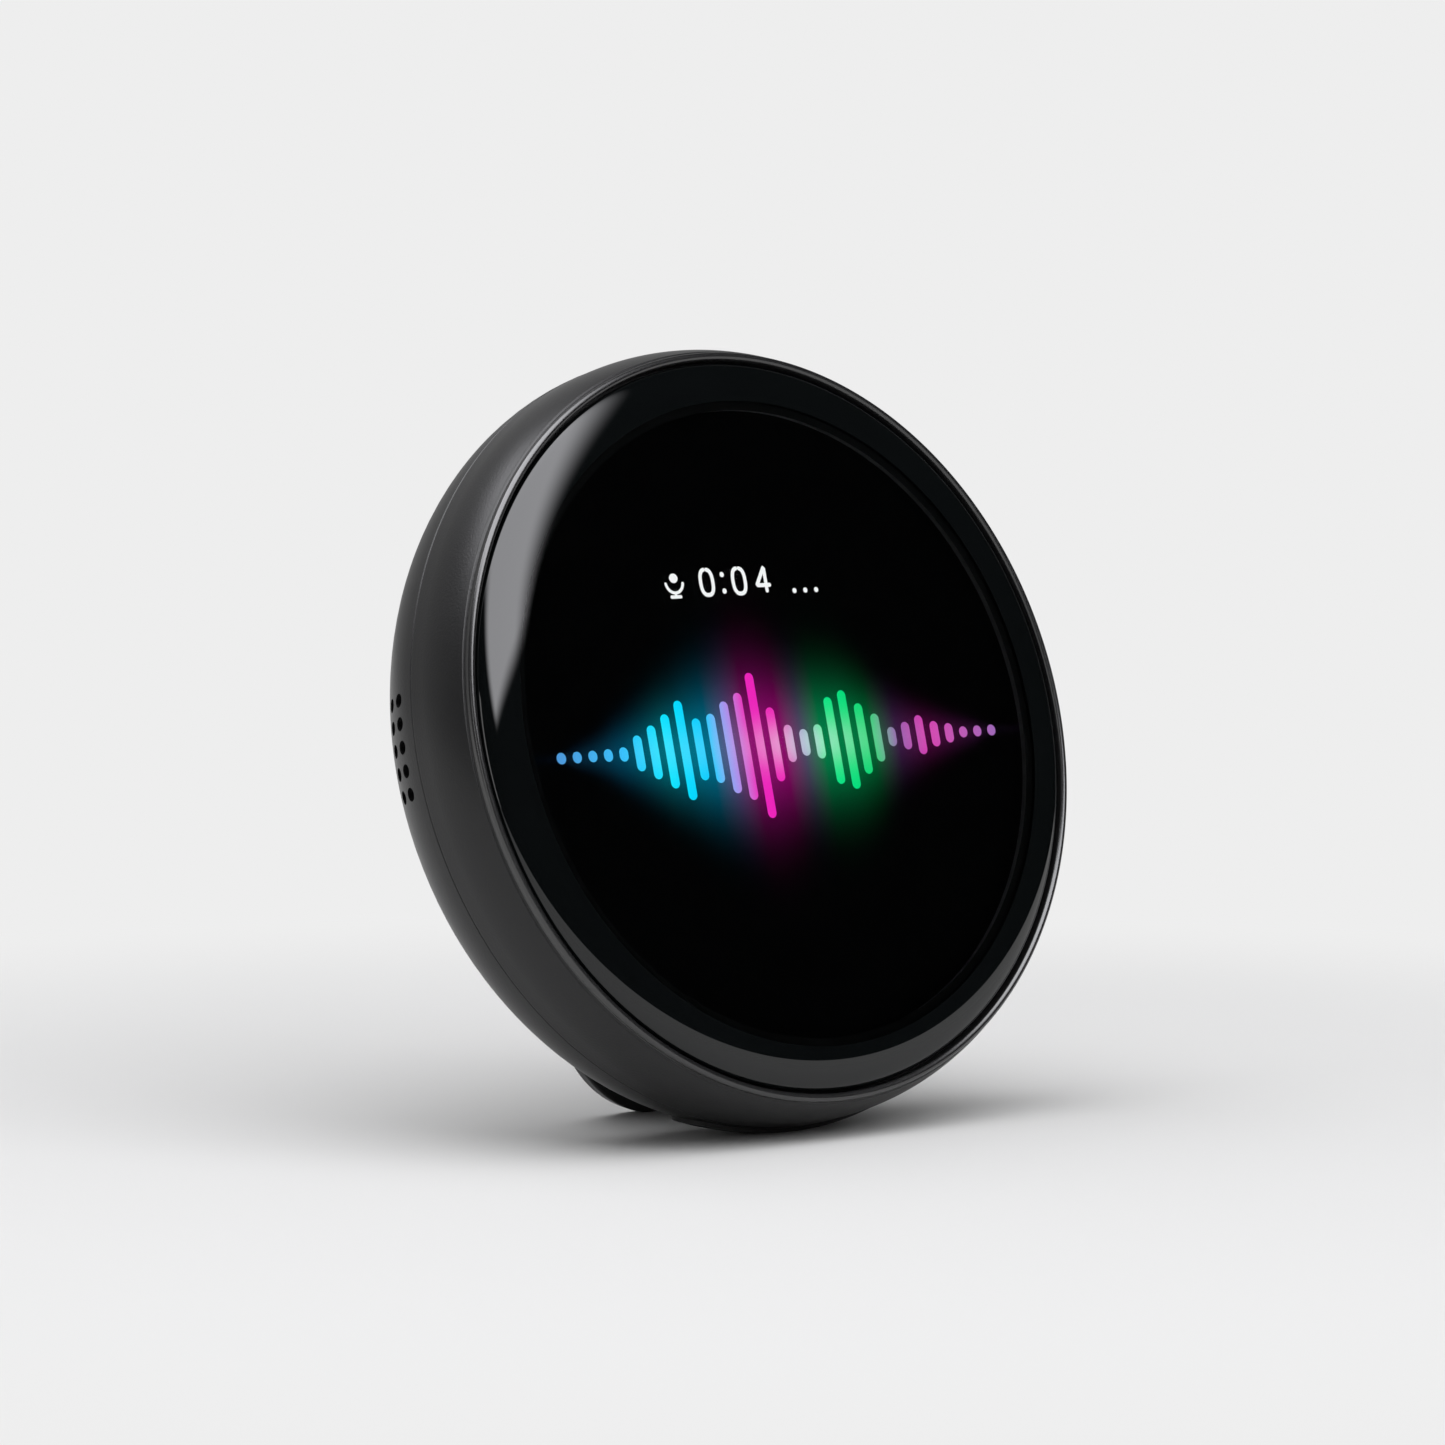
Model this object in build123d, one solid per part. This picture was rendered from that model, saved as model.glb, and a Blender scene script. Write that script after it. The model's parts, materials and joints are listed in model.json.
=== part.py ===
from build123d import *
import math
import os

# A round smart speaker with a touch screen, standing on a rubber foot and a fold-out stand.
# Each piece is modelled in the body's own frame: +Z out of the screen along the disc's axis,
# +Y up the screen, +X to the viewer's right, with Z = 0 at the plane of the gap round the
# glass. place() then leans the body back and stands it on the ground, front facing -Y.

# Driving dimensions, in millimetres and degrees.
LEAN = 15.3              # the screen leans back from upright
BODY_R = 63.3            # largest radius of the housing
FRONT_ARC_R = 19.5       # section radius of the housing in front of its widest band
FRONT_ARC_Z = -9.0
REAR_ARC_R = 17.5        # section radius of the rounded rear edge
PARTING_Z = -12.0        # joint between the front ring and the rear shell
WALL = 2.0
BACK_Z = PARTING_Z - REAR_ARC_R
BACK_FLAT_R = BODY_R - REAR_ARC_R
GAP_R = 59.8             # inner wall of the bead round the glass
BEAD_R = 0.65
GLASS_R = 59.3
GLASS_FLAT_R = 46.0      # where the flat front of the glass starts to curve down
GLASS_FRONT_Z = 2.4
GLASS_RIM_Z = -0.4       # where the curved edge turns into the short upright rim
GLASS_BACK_Z = -1.4
GLASS_THICK = 1.6
FOOT_PROUD = 0.4         # the foot stands this far below the housing's lowest line
FIT = 0.05               # running fit of the stand's pin, on the radius

# Where the ground lies, square to the direction that is down once the body leans back.
lean = math.radians(LEAN)
DOWN_Y = -math.cos(lean)
DOWN_Z = -math.sin(lean)
lowest_rim = BACK_FLAT_R * math.cos(lean) - PARTING_Z * math.sin(lean) + REAR_ARC_R
GROUND = lowest_rim + FOOT_PROUD


def place(shape):
    """Leans the shape back, stands it on the ground and centres its depth on the origin.

    The bead's lowest point reaches furthest forward, and the rear edge's top furthest back.
    """
    front = (GAP_R + BEAD_R) * math.sin(lean) + BEAD_R
    back = BACK_FLAT_R * math.sin(lean) - PARTING_Z * math.cos(lean) + REAR_ARC_R
    return Pos(0, (front - back) / 2, GROUND) * Rot(90 - LEAN, 0, 0) * shape


def write(name, shape):
    """Writes one sub-part, in its standing place, as parts/NAME.step."""
    placed = place(shape)
    placed.label = name
    export_step(placed, f"parts/{name}.step")


def revolve_section(face):
    """Turns a closed section, drawn as (radius, height) on the XZ plane, into a solid."""
    return revolve(face, Axis.Z, 360)


def section(*edges):
    """A closed face on the XZ plane from edges that join end to end."""
    return make_face(edges)


def pt(radius, height):
    return Vector(radius, 0, height)


def polygon(*points):
    """A closed straight-sided section from (radius, height) pairs."""
    return make_face(Polyline(*[pt(*p) for p in points], close=True).edges())


def disc(radius, low, high, x=0.0, y=0.0):
    """A round plate or post between two heights."""
    return Pos(x, y, low) * Cylinder(radius, high - low, align=(Align.CENTER, Align.CENTER, Align.MIN))


def ring(outer, inner, low, high, x=0.0, y=0.0):
    return disc(outer, low, high, x, y) - disc(inner, low - 1, high + 1, x, y)


def block(x0, x1, y0, y1, z0, z1):
    """A box between two corners."""
    return Pos((x0 + x1) / 2, (y0 + y1) / 2, (z0 + z1) / 2) * Box(x1 - x0, y1 - y0, z1 - z0)


def chip(x, y, size_x, size_y, z0, z1):
    """A box centred at (x, y), between two heights."""
    return block(x - size_x / 2, x + size_x / 2, y - size_y / 2, y + size_y / 2, z0, z1)


def group(shapes):
    """Like pieces that share one sub-part, kept as separate solids."""
    return Compound([solid for shape in shapes for solid in shape.solids()])


def rear_outline(offset):
    """Section points of the rear edge, moved inwards by offset: widest, middle and flat back."""
    radius = REAR_ARC_R - offset
    half = math.sqrt(0.5) * radius
    widest = pt(BACK_FLAT_R + radius, PARTING_Z)
    middle = pt(BACK_FLAT_R + half, PARTING_Z - half)
    flat = pt(BACK_FLAT_R, PARTING_Z - radius)
    return widest, middle, flat


def rear_solid(offset):
    """The full rear of the body, moved inwards by offset, as one solid dome."""
    widest, middle, flat = rear_outline(offset)
    top = pt(0, PARTING_Z)
    bottom = pt(0, flat.Z)
    outline = section(
        Line(top, widest),
        ThreePointArc(widest, middle, flat),
        Line(flat, bottom),
        Line(bottom, top),
    )
    return revolve_section(outline)


# --- glass and display ---------------------------------------------------------------------

PANEL_R = 52.0
GLASS_UNDER_Z = GLASS_FRONT_Z - GLASS_THICK
PANEL_Z = GLASS_UNDER_Z - 1.2
PANEL_BACK_Z = PANEL_Z - 1.1
TRAY_BACK_Z = PANEL_BACK_Z - 1.4
LEDGE_Z = GLASS_BACK_Z - 0.3
LEDGE_BACK_Z = LEDGE_Z - 1.9
LEDGE_R = 54.0


def make_cover_glass():
    """Flat in the middle, with an elliptical edge that curves down to a short upright rim."""
    rim_w = GLASS_R - GLASS_FLAT_R
    rim_h = GLASS_FRONT_Z - GLASS_RIM_Z
    inner_w = rim_w - GLASS_THICK
    seat_r = GLASS_FLAT_R + inner_w
    slope_end = pt(seat_r - 2.2, GLASS_UNDER_Z - 1.6)
    curve = EllipticalCenterArc(
        (GLASS_FLAT_R, GLASS_RIM_Z), rim_w, rim_h, start_angle=0, arc_size=90
    )
    edge = Plane.XZ * curve
    outline = section(
        Line(pt(0, GLASS_UNDER_Z), pt(0, GLASS_FRONT_Z)),
        Line(pt(0, GLASS_FRONT_Z), pt(GLASS_FLAT_R, GLASS_FRONT_Z)),
        edge,
        Line(pt(GLASS_R, GLASS_RIM_Z), pt(GLASS_R, GLASS_BACK_Z)),
        Line(pt(GLASS_R, GLASS_BACK_Z), pt(seat_r, GLASS_BACK_Z)),
        Line(pt(seat_r, GLASS_BACK_Z), slope_end),
        Line(slope_end, pt(PANEL_R + 0.4, GLASS_UNDER_Z)),
        Line(pt(PANEL_R + 0.4, GLASS_UNDER_Z), pt(0, GLASS_UNDER_Z)),
    )
    return revolve_section(outline)


def make_backlight_tray():
    """Shallow pressed tray that holds the light guide behind the panel."""
    return disc(PANEL_R + 0.3, TRAY_BACK_Z, PANEL_BACK_Z)


# --- front ring ------------------------------------------------------------------------------

SPIGOT_R = BACK_FLAT_R + REAR_ARC_R - WALL - 0.1
RING_INNER_R = 60.2
SPIGOT_END_Z = PARTING_Z - 2.0
PARTING_CHAMFER = 0.2
FRAME_SCREWS = 6
FRAME_SCREW_PCD_R = 56.8


def make_front_ring():
    """Outer wall, raised bead round the glass, inward ledge for glass, spigot for the shell."""
    bead_mid = GAP_R + BEAD_R
    bead_out = GAP_R + 2 * BEAD_R
    arc_r = BODY_R - FRONT_ARC_R
    shoulder_z = -0.9
    shoulder_r = arc_r + math.sqrt(FRONT_ARC_R**2 - (shoulder_z - FRONT_ARC_Z) ** 2)
    side_z = -4.5
    side_r = arc_r + math.sqrt(FRONT_ARC_R**2 - (side_z - FRONT_ARC_Z) ** 2)
    chamfer_z = PARTING_Z + PARTING_CHAMFER
    outline = section(
        Line(pt(LEDGE_R, LEDGE_Z), pt(GAP_R, LEDGE_Z)),
        Line(pt(GAP_R, LEDGE_Z), pt(GAP_R, 0)),
        ThreePointArc(pt(GAP_R, 0), pt(bead_mid, BEAD_R), pt(bead_out, 0)),
        Line(pt(bead_out, 0), pt(bead_out, -0.3)),
        ThreePointArc(pt(bead_out, -0.3), pt(bead_out + 0.12, -0.7), pt(shoulder_r, shoulder_z)),
        ThreePointArc(pt(shoulder_r, shoulder_z), pt(side_r, side_z), pt(BODY_R, FRONT_ARC_Z)),
        Line(pt(BODY_R, FRONT_ARC_Z), pt(BODY_R, chamfer_z)),
        Line(pt(BODY_R, chamfer_z), pt(BODY_R - PARTING_CHAMFER, PARTING_Z)),
        Line(pt(BODY_R - PARTING_CHAMFER, PARTING_Z), pt(SPIGOT_R, PARTING_Z)),
        Line(pt(SPIGOT_R, PARTING_Z), pt(SPIGOT_R, SPIGOT_END_Z)),
        Line(pt(SPIGOT_R, SPIGOT_END_Z), pt(RING_INNER_R, SPIGOT_END_Z)),
        Line(pt(RING_INNER_R, SPIGOT_END_Z), pt(RING_INNER_R, LEDGE_BACK_Z)),
        Line(pt(RING_INNER_R, LEDGE_BACK_Z), pt(LEDGE_R, LEDGE_BACK_Z)),
        Line(pt(LEDGE_R, LEDGE_BACK_Z), pt(LEDGE_R, LEDGE_Z)),
    )
    body = revolve_section(outline)
    for x, y in circle_points(FRAME_SCREWS, FRAME_SCREW_PCD_R, 30):
        body -= disc(FRAME_SCREW_R, LEDGE_BACK_Z - 1, LEDGE_BACK_Z + 1.4, x, y)
    return body


def circle_points(count, radius, first_angle):
    """Evenly spaced places on a circle, as (x, y)."""
    places = []
    for k in range(count):
        angle = math.radians(first_angle + 360 / count * k)
        places.append((radius * math.cos(angle), radius * math.sin(angle)))
    return places


# --- middle frame, screws and main board -------------------------------------------------------

FRAME_R = 59.9
FRAME_BACK_Z = LEDGE_BACK_Z - 1.5
FRAME_SCREW_R = 0.8
TOWER_PLACES = [(-28.3, 28.3), (28.3, 28.3), (-31.0, -24.0), (31.0, -24.0)]
TOWER_Z = -13.0
TOWER_R = 3.2
SCREW_R = 0.9
BOARD_FRONT_Z = -9.0
BOARD_BACK_Z = -10.2
BOARD_PLACES = [(-19.5, 36.0), (19.5, 36.0), (-19.5, -40.0), (19.5, -40.0)]
RIBBON_Y = -51.5


def make_middle_frame():
    """Plate across the whole body, with posts for the shell's screws and for the board."""
    frame = disc(FRAME_R, FRAME_BACK_Z, LEDGE_BACK_Z)
    for x, y in TOWER_PLACES:
        frame += disc(TOWER_R, TOWER_Z, FRAME_BACK_Z, x, y)
    for x, y in BOARD_PLACES:
        frame += disc(2.4, BOARD_FRONT_Z, FRAME_BACK_Z, x, y)
    for x, y in TOWER_PLACES:
        frame -= disc(SCREW_R, TOWER_Z - 1, FRAME_BACK_Z + 0.2, x, y)
    for x, y in BOARD_PLACES:
        frame -= disc(FRAME_SCREW_R, BOARD_FRONT_Z - 1, FRAME_BACK_Z + 0.2, x, y)
    for x, y in circle_points(FRAME_SCREWS, FRAME_SCREW_PCD_R, 30):
        frame -= disc(FRAME_SCREW_R, FRAME_BACK_Z - 1, LEDGE_BACK_Z + 1, x, y)
    frame -= block(-9, 9, RIBBON_Y - 1.5, RIBBON_Y + 1.5, FRAME_BACK_Z - 1, LEDGE_BACK_Z + 1)
    return frame


def screw(x, y, seat_z, tip_z, shank_r, head_r, head_h):
    """A pan head screw that points at the screen, with a cross slot in its head."""
    body = disc(head_r, seat_z - head_h, seat_z, x, y) + disc(shank_r, seat_z, tip_z, x, y)
    slot_z = seat_z - head_h
    body -= chip(x, y, head_r * 1.3, head_r * 0.3, slot_z, slot_z + head_h / 2)
    body -= chip(x, y, head_r * 0.3, head_r * 1.3, slot_z, slot_z + head_h / 2)
    return body


def make_frame_screws():
    places = circle_points(FRAME_SCREWS, FRAME_SCREW_PCD_R, 30)
    tip = LEDGE_BACK_Z + 1.2
    return group(screw(x, y, FRAME_BACK_Z, tip, FRAME_SCREW_R, 1.5, 0.9) for x, y in places)


def make_board_screws():
    tip = FRAME_BACK_Z - 0.4
    return group(screw(x, y, BOARD_BACK_Z, tip, FRAME_SCREW_R, 1.5, 0.9) for x, y in BOARD_PLACES)


def make_main_board():
    """Circuit board on the middle frame's four short posts."""
    board = block(-23, 23, -44, 40, BOARD_BACK_Z, BOARD_FRONT_Z)
    board = fillet(board.edges().filter_by(Axis.Z), 3)
    for x, y in BOARD_PLACES:
        board -= disc(FRAME_SCREW_R, BOARD_BACK_Z - 1, BOARD_FRONT_Z + 1, x, y)
    return board


def shield_can(x, y, size_x, size_y, height):
    """Drawn metal can, open towards the board behind it."""
    can = chip(x, y, size_x, size_y, BOARD_FRONT_Z, BOARD_FRONT_Z + height)
    can = fillet(can.edges().filter_by(Axis.Z), 0.8)
    return can - chip(x, y, size_x - 0.6, size_y - 0.6, BOARD_FRONT_Z - 1, BOARD_FRONT_Z + height - 0.3)


PROCESSOR = (0.0, 8.0)
CAN_HEIGHT = 2.4


def make_board_chips():
    """Processor and radio under their cans, with power parts on the board's back."""
    top = BOARD_FRONT_Z
    chips = [
        chip(PROCESSOR[0], PROCESSOR[1] + 5, 12, 12, top, top + 1.2),
        chip(PROCESSOR[0], PROCESSOR[1] - 8, 10, 8, top, top + 1.0),
        chip(0, -20, 8, 8, top, top + 1.0),
        chip(-12, -24, 5, 5, BOARD_BACK_Z - 1.6, BOARD_BACK_Z),
        chip(-12, -32, 5, 5, BOARD_BACK_Z - 1.6, BOARD_BACK_Z),
        chip(10, -28, 7, 7, BOARD_BACK_Z - 1.0, BOARD_BACK_Z),
        chip(10, 2, 6, 5, BOARD_BACK_Z - 0.9, BOARD_BACK_Z),
    ]
    return group(chips)


def make_board_sockets():
    """Sockets for the display ribbon, speakers, battery, power and button leads."""
    behind = BOARD_BACK_Z
    sockets = [
        chip(0, -37.5, 18, 4, BOARD_FRONT_Z, BOARD_FRONT_Z + 1.0),
        chip(-20, -8, 4, 6, behind - 2.0, behind),
        chip(20, -8, 4, 6, behind - 2.0, behind),
        chip(0, 10, 8, 4, behind - 2.0, behind),
        chip(-8, -10, 12, 4, behind - 1.2, behind),
        chip(8, 37.5, 10, 4, behind - 1.2, behind),
    ]
    return group(sockets)


# --- rear shell, with its grilles, stand pocket and openings -----------------------------------

HOLE_R = 1.1
HOLE_ANGLE = 2.4         # the middle row of holes lies this far above the body's middle
HOLE_STEP = 3.4
HOLE_ROWS = 5
HOLE_Z = (-15.9, -19.2)
SHELL_HEAD_Z = -24.5
COUNTERBORE_R = 2.4
USB_Y = 5.0
USB_SIZE = (9.0, 3.2)
POWER_BOARD_Z = -21.2
POWER_SCREW_X = 10.0

STAND_R = 23.0           # round flap of the stand
STAND_THICK = 2.8
STAND_OPEN = 21.3        # angle between the open stand and the back
STAND_Y = -8.0           # hinge axis
STAND_Z = BACK_Z + 2.1
POCKET_GAP = 0.5
POCKET_FLOOR_Z = STAND_Z + STAND_THICK / 2 + 0.4
BARREL_R = 2.0
BARREL_HALF = 9.7
HINGE_POCKET_HALF = 10.3
HINGE_POCKET_UP = 3.6    # room above the hinge axis for the barrel and its heel
STAND_WEB = 10.0         # from the hinge axis down to where the round flap is full
HINGE_FLOOR_Z = STAND_Z + 2.8
PIN_R = 1.0
PIN_HALF = 14.5

# The open stand's end meets the ground: its length follows from the hinge and the angle.
stand_angle = math.radians(STAND_OPEN)
hinge_height = GROUND - STAND_Y * DOWN_Y - STAND_Z * DOWN_Z
stand_lean = lean - stand_angle
outer_face_drop = STAND_THICK / 2 * math.sin(-stand_lean)
STAND_FLAT = 0.25        # the round end is cut this much to stand flat
STAND_LENGTH = (hinge_height + outer_face_drop) / math.cos(stand_lean) + STAND_FLAT
STAND_CENTRE_Y = STAND_Y - STAND_LENGTH + STAND_R

BUTTON_TILT = 27.0       # the buttons face up and back by this angle
BUTTON_X = 13.5
BUTTON_SIZE = (9.0, 4.2)
BUTTON_GAP = 0.3
BUTTON_PROUD = 0.4
BUTTON_TRAVEL = 0.4
FLANGE_TOP = -5.2        # the keys' inner flange, measured down from the housing's surface
SWITCH_TOP = -6.7
BUTTON_BOARD = -8.0
BOARD_THICK = 0.8
MIC_X = 6.75
tilt = math.radians(BUTTON_TILT)
button_origin = Vector(
    0,
    BACK_FLAT_R + REAR_ARC_R * math.cos(tilt),
    PARTING_Z - REAR_ARC_R * math.sin(tilt),
)
button_plane = Plane(
    origin=button_origin,
    x_dir=Vector(1, 0, 0),
    z_dir=Vector(0, math.cos(tilt), -math.sin(tilt)),
)

FOOT_HALF = 20.0         # the foot follows the lower rim this far to each side
FOOT_Z = (-21.0, -13.5)
FOOT_DEPTH = 1.1
FOOT_BAR = 20.0          # length of the bar that cuts the foot out of the rim
FOOT_CORNER_SPARE = 0.1  # the bar's ends are this far from full rounds
DRILL_START_R = 50.0     # the sound holes' drill starts here and runs outwards
DRILL_LENGTH = 20.0
FOOT_SPARE = 0.25        # rubber below the ground line, which is cut off flat
PARTING_CLEAR = 0.1


def radial_hole(angle, z, radius):
    """A drill along the radius, through the shell's side wall only."""
    bit = Cylinder(radius, DRILL_LENGTH, align=(Align.CENTER, Align.CENTER, Align.MIN))
    return Rot(0, 0, angle) * Pos(DRILL_START_R, 0, z) * Rot(0, 90, 0) * bit


def grille_drills():
    """Two columns of holes on the left, mirrored to the right."""
    drills = []
    for row in range(HOLE_ROWS):
        angle = HOLE_ANGLE + HOLE_STEP * (row - (HOLE_ROWS - 1) / 2)
        for z in HOLE_Z:
            drills.append(radial_hole(angle, z, HOLE_R))
            drills.append(radial_hole(180 - angle, z, HOLE_R))
    return drills


def slot_prism(x, size_x, size_y, low, high):
    """A stadium-shaped prism square to the button plane."""
    outline = Pos(x, 0, low) * SlotOverall(size_x, size_y)
    return button_plane * extrude(outline, high - low)


def foot_block(grow):
    """The stretch of the lower rim that holds the foot, with rounded ends."""
    width = 2 * (FOOT_HALF + grow)
    length = FOOT_Z[1] - FOOT_Z[0] + 2 * grow
    bar = Box(width, FOOT_BAR, length)
    bar = fillet(bar.edges().filter_by(Axis.Y), length / 2 - FOOT_CORNER_SPARE)
    return Pos(0, -BODY_R, (FOOT_Z[0] + FOOT_Z[1]) / 2) * bar


def foot_pocket():
    """The foot's space: from its shallow bed in the rim out to just below the ground line."""
    return (foot_block(0) & rear_solid(-FOOT_PROUD - FOOT_SPARE)) - rear_solid(FOOT_DEPTH)


def above_ground():
    """Everything above the ground plane, as one large block in the leaning frame."""
    size = 300.0
    slab = Pos(0, 0, size / 2 - GROUND) * Box(size, size, size)
    return Rot(LEAN - 90, 0, 0) * slab


def make_rear_shell():
    """Moulded shell: round edge, flat back, grilles, stand pocket, bosses and openings."""
    cavity = rear_solid(WALL)
    shell = rear_solid(0) - cavity
    # solid ground round the stand's pocket and hinge, the screw towers and the USB posts
    inside = disc(STAND_R + POCKET_GAP + WALL, BACK_Z, POCKET_FLOOR_Z + WALL, 0, STAND_CENTRE_Y)
    hinge_half = PIN_HALF + 2.0
    hinge_top = STAND_Y + HINGE_POCKET_UP + WALL
    inside += block(-hinge_half, hinge_half, STAND_Y - 7, hinge_top, BACK_Z, HINGE_FLOOR_Z + WALL)
    for x, y in TOWER_PLACES:
        inside += disc(TOWER_R + 0.6, BACK_Z, TOWER_Z, x, y)
    for x in (-POWER_SCREW_X, POWER_SCREW_X):
        inside += disc(2.2, BACK_Z, POWER_BOARD_Z, x, USB_Y)
    shell += inside & rear_solid(0.5)
    # a thicker wall behind the lower foot, so that its pocket doesn't break through
    shell += (foot_block(1.0) & rear_solid(0.5)) - rear_solid(WALL + 1.0)
    # room for the front ring's spigot
    shell -= disc(SPIGOT_R + PARTING_CLEAR, SPIGOT_END_Z - 0.2, PARTING_Z + 1)
    chamfer_ring = polygon(
        (BODY_R - PARTING_CHAMFER, PARTING_Z + 0.01),
        (BODY_R + 1, PARTING_Z + 0.01),
        (BODY_R + 1, PARTING_Z - 1.0 - PARTING_CHAMFER),
    )
    shell -= revolve_section(chamfer_ring)
    for drill in grille_drills():
        shell -= drill
    shell -= disc(STAND_R + POCKET_GAP, BACK_Z - 1, POCKET_FLOOR_Z, 0, STAND_CENTRE_Y)
    pocket_x = HINGE_POCKET_HALF
    hinge_low = STAND_Y - STAND_WEB
    hinge_high = STAND_Y + HINGE_POCKET_UP
    shell -= block(-pocket_x, pocket_x, hinge_low, hinge_high, BACK_Z - 1, HINGE_FLOOR_Z)
    shell -= Pos(0, STAND_Y, STAND_Z) * Rot(0, 90, 0) * Cylinder(PIN_R, 2 * PIN_HALF)
    for x, y in TOWER_PLACES:
        shell -= disc(SCREW_R + 0.3, BACK_Z - 1, TOWER_Z + 1, x, y)
        shell -= disc(COUNTERBORE_R, BACK_Z - 1, SHELL_HEAD_Z, x, y)
    for x in (-POWER_SCREW_X, POWER_SCREW_X):
        shell -= disc(FRAME_SCREW_R, POWER_BOARD_Z - 4, POWER_BOARD_Z + 1, x, USB_Y)
    usb_hole = Pos(0, USB_Y, BACK_Z - 1) * SlotOverall(USB_SIZE[0] + 0.6, USB_SIZE[1] + 0.6)
    shell -= extrude(usb_hole, WALL + 2)
    opening = (BUTTON_SIZE[0] + 2 * BUTTON_GAP, BUTTON_SIZE[1] + 2 * BUTTON_GAP)
    for x in (-BUTTON_X, 0, BUTTON_X):
        shell -= slot_prism(x, *opening, FLANGE_TOP, 4)
    for x in (-MIC_X, MIC_X):
        shell -= button_plane * Pos(x, 0, 0) * Cylinder(0.5, 12)
    return shell - foot_pocket()


def make_lower_foot():
    """Rubber foot let into the lower rim, cut flat where it meets the ground."""
    return foot_pocket() & above_ground()


# --- stand ---------------------------------------------------------------------------------------

PAD_DEPTH = 1.8
PAD_HALF = 9.0


def open_stand(shape):
    """Swings a piece from its folded place, flat in the back, to its open place."""
    to_axis = Pos(0, STAND_Y, STAND_Z)
    return to_axis * Rot(STAND_OPEN, 0, 0) * to_axis.inverse() * shape


def folded_plate():
    low = STAND_Z - STAND_THICK / 2
    plate = disc(STAND_R, low, low + STAND_THICK, 0, STAND_CENTRE_Y)
    return fillet(plate.edges(), 0.6)


def pad_zone():
    """The lowest stretch of the round flap, where rubber takes the place of plastic."""
    low = STAND_Z - STAND_THICK
    end_y = STAND_CENTRE_Y - STAND_R
    zone = block(-PAD_HALF, PAD_HALF, end_y - 2, end_y + 8, low, low + 2 * STAND_THICK)
    return zone - disc(STAND_R - PAD_DEPTH, low - 1, low + 2 * STAND_THICK + 1, 0, STAND_CENTRE_Y)


def make_stand():
    """Round flap with a hinge barrel and a stop heel that meets the pocket when open."""
    stand = folded_plate()
    barrel = Pos(0, STAND_Y, STAND_Z) * Rot(0, 90, 0) * Cylinder(BARREL_R, 2 * BARREL_HALF)
    low = STAND_Z - STAND_THICK / 2
    web = block(-BARREL_HALF, BARREL_HALF, STAND_Y - STAND_WEB, STAND_Y, low, low + STAND_THICK)
    heel = block(-4, 4, STAND_Y, STAND_Y + 3.0, STAND_Z - 0.6, STAND_Z + 1.6)
    stand += barrel + web + heel
    stand -= pad_zone()
    stand -= Pos(0, STAND_Y, STAND_Z) * Rot(0, 90, 0) * Cylinder(PIN_R + FIT, 40)
    return open_stand(stand)


def make_stand_pad():
    """Rubber end of the flap, cut flat where it meets the ground."""
    return open_stand(folded_plate() & pad_zone()) & above_ground()


def make_hinge_pin():
    return Pos(0, STAND_Y, STAND_Z) * Rot(0, 90, 0) * Cylinder(PIN_R, 2 * PIN_HALF)


def make_hinge_washers():
    """Two friction washers between the barrel and the pocket's walls."""
    washers = []
    thick = HINGE_POCKET_HALF - BARREL_HALF - 2 * FIT
    middle = (HINGE_POCKET_HALF + BARREL_HALF) / 2
    for x in (-middle, middle):
        washer = Cylinder(BARREL_R - 0.1, thick) - Cylinder(PIN_R, thick)
        washers.append(Pos(x, STAND_Y, STAND_Z) * Rot(0, 90, 0) * washer)
    return group(washers)


# --- buttons and microphones -----------------------------------------------------------------------

def make_button(x):
    """Key cap that follows the housing's curve, with a flange inside and a stem."""
    flange_low = FLANGE_TOP - 0.6
    cap = slot_prism(x, *BUTTON_SIZE, flange_low, 3) & rear_solid(-BUTTON_PROUD)
    flange = slot_prism(x, BUTTON_SIZE[0] + 1.4, BUTTON_SIZE[1] + 1.2, flange_low, FLANGE_TOP)
    stem_foot = SWITCH_TOP + BUTTON_TRAVEL + 0.1
    stem_height = flange_low - stem_foot + 0.1
    stem = button_plane * Pos(x, 0, stem_foot + stem_height / 2) * Cylinder(1.1, stem_height)
    return cap + flange + stem


def make_button_board():
    """Narrow circuit board behind the three keys."""
    return button_plane * Pos(0, 0, BUTTON_BOARD - BOARD_THICK / 2) * Box(38, 5.0, BOARD_THICK)


def make_button_switches():
    height = SWITCH_TOP - BUTTON_BOARD
    return group(
        button_plane * Pos(x, 0, BUTTON_BOARD + height / 2) * Box(4.0, 3.2, height)
        for x in (-BUTTON_X, 0, BUTTON_X)
    )


def make_microphones():
    """Two microphone cans on the button board, under their sound holes."""
    return group(
        button_plane * Pos(x, 0, BUTTON_BOARD + 0.5) * Box(2.6, 3.2, 1.0) for x in (-MIC_X, MIC_X)
    )


def make_microphone_boots():
    """Rubber tubes from the microphones to the shell's wall."""
    boots = []
    for x in (-MIC_X, MIC_X):
        tube = ring(1.2, 0.5, BUTTON_BOARD + 1.0, 0, x, 0)
        boots.append(button_plane * tube & rear_solid(WALL + 0.02))
    return group(boots)


# --- speakers --------------------------------------------------------------------------------------

SPEAKER_FACE_X = -46.6
SPEAKER_Z = -18.0
SPEAKER_LONG = 30.0
SPEAKER_SHORT = 15.0
CONE_LONG = 24.0
CONE_SHORT = 9.4
speaker_plane = Plane(
    origin=Vector(SPEAKER_FACE_X, 2.5, SPEAKER_Z),
    x_dir=Vector(0, 1, 0),
    z_dir=Vector(1, 0, 0),
)


def stadium(long_side, short_side, start, end):
    """A stadium-shaped plate of the left speaker, from start to end behind its face."""
    outline = Pos(0, 0, start) * SlotOverall(long_side, short_side)
    return speaker_plane * extrude(outline, end - start)


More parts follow.
